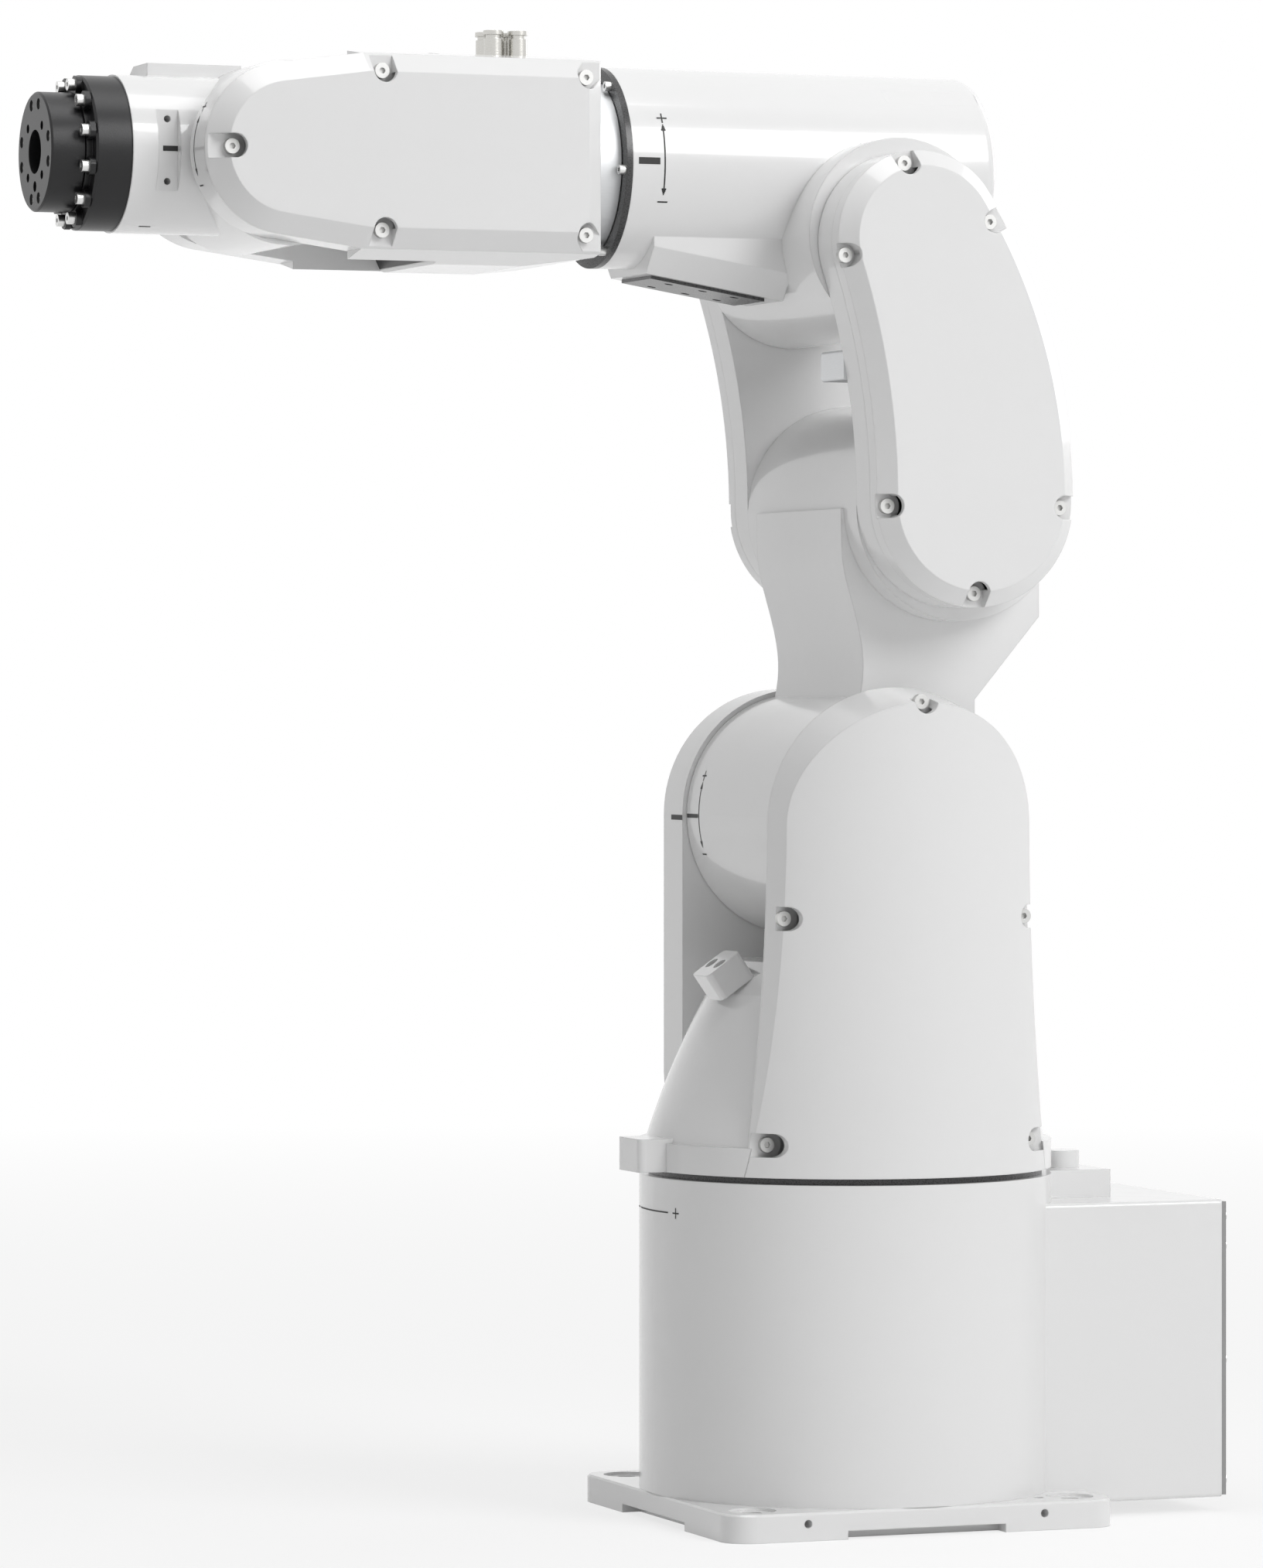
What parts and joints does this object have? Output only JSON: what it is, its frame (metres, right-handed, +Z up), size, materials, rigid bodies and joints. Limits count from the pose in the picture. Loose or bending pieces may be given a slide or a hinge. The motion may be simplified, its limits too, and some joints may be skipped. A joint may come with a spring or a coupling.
{
  "type": "six-axis robot arm",
  "caption": "Compact articulated robot arm on a square foot, with a turret, covered upper arm, elbow tube, forked forearm, bending wrist and black tool flange",
  "frame": {"origin": "centre of the foot's underside, on the axis of the first joint", "axes": "+X the way the arm reaches at its zero pose, +Y the side of the left covers, +Z up"},
  "size_m": [0.5832, 0.197, 0.6949],
  "materials": {
    "white_paint": "gloss white paint on cast aluminium",
    "dark_anodised": "satin dark grey",
    "black_anodised": "black anodised, satin",
    "grey_panel": "satin mid-grey sheet",
    "screw_steel": "bright screw heads",
    "nickel": "nickel plated brass",
    "light_grey_metal": "machined light grey",
    "motor_black": "black case",
    "drive_steel": "ground steel"
  },
  "bodies": {
    "base": {"base_casting": "white_paint", "base_rear_panel": "grey_panel", "rear_panel_screws": "screw_steel", "power_connector": "light_grey_metal", "signal_connector": "light_grey_metal", "air_inlet_couplings": "nickel", "base_seal_ring": "dark_anodised", "j1_motor": "motor_black", "j1_reducer": "drive_steel"},
    "turret": {"turret_casting": "white_paint", "turret_left_cover": "white_paint", "turret_right_cover": "white_paint", "turret_cover_screws": "screw_steel", "shoulder_stop_block": "white_paint", "shoulder_stop_screws": "screw_steel", "j1_output_flange": "drive_steel", "j2_motor": "motor_black", "j2_reducer": "drive_steel", "j2_bearing": "drive_steel"},
    "upper_arm": {"upper_arm_casting": "white_paint", "upper_arm_left_cover": "white_paint", "upper_arm_right_cover": "white_paint", "upper_arm_cover_screws": "screw_steel", "elbow_stop_block": "light_grey_metal", "j2_output_flange": "drive_steel", "j3_motor": "motor_black", "j3_reducer": "drive_steel", "j3_bearing": "drive_steel"},
    "elbow": {"elbow_housing": "white_paint", "elbow_rear_cap": "grey_panel", "chin_plate": "dark_anodised", "j3_output_flange": "drive_steel", "j4_ring": "dark_anodised", "j4_ring_screws": "screw_steel", "j4_motor": "motor_black", "j4_reducer": "drive_steel"},
    "forearm": {"forearm_casting": "white_paint", "forearm_left_cover": "white_paint", "forearm_right_cover": "white_paint", "forearm_cover_screws": "screw_steel", "air_fittings": "nickel", "throat_cover": "black_anodised", "j4_output_flange": "light_grey_metal", "j5_motor": "motor_black", "j5_reducer": "drive_steel", "j5_bearing": "drive_steel"},
    "wrist": {"wrist_housing": "white_paint", "j5_output_flange": "drive_steel", "j6_motor": "motor_black", "j6_reducer_body": "black_anodised", "wrist_ring_screws": "screw_steel"},
    "flange": {"tool_flange": "black_anodised", "tool_flange_screws": "screw_steel"}
  },
  "joints": [
    {"name": "j1_base_turn", "type": "hinge", "parent": "base", "child": "turret", "pos_m": [0, 0, 0.1615], "axis": [0, 0, 1], "range_deg": [-165, 165]},
    {"name": "j2_shoulder", "type": "hinge", "parent": "turret", "child": "upper_arm", "pos_m": [0, 0, 0.33], "axis": [0, 1, 0], "range_deg": [-95, 120]},
    {"name": "j3_elbow", "type": "hinge", "parent": "upper_arm", "child": "elbow", "pos_m": [0, 0, 0.6], "axis": [0, -1, 0], "range_deg": [-68, 100]},
    {"name": "j4_forearm_roll", "type": "hinge", "parent": "elbow", "child": "forearm", "pos_m": [0.1286, 0, 0.633], "axis": [1, 0, 0], "range_deg": [-180, 180]},
    {"name": "j5_wrist_bend", "type": "hinge", "parent": "forearm", "child": "wrist", "pos_m": [0.29, 0, 0.633], "axis": [0, -1, 0], "range_deg": [-115, 115]},
    {"name": "j6_flange_turn", "type": "hinge", "parent": "wrist", "child": "flange", "pos_m": [0.382, 0, 0.633], "axis": [1, 0, 0], "range_deg": [-360, 360]}
  ]
}
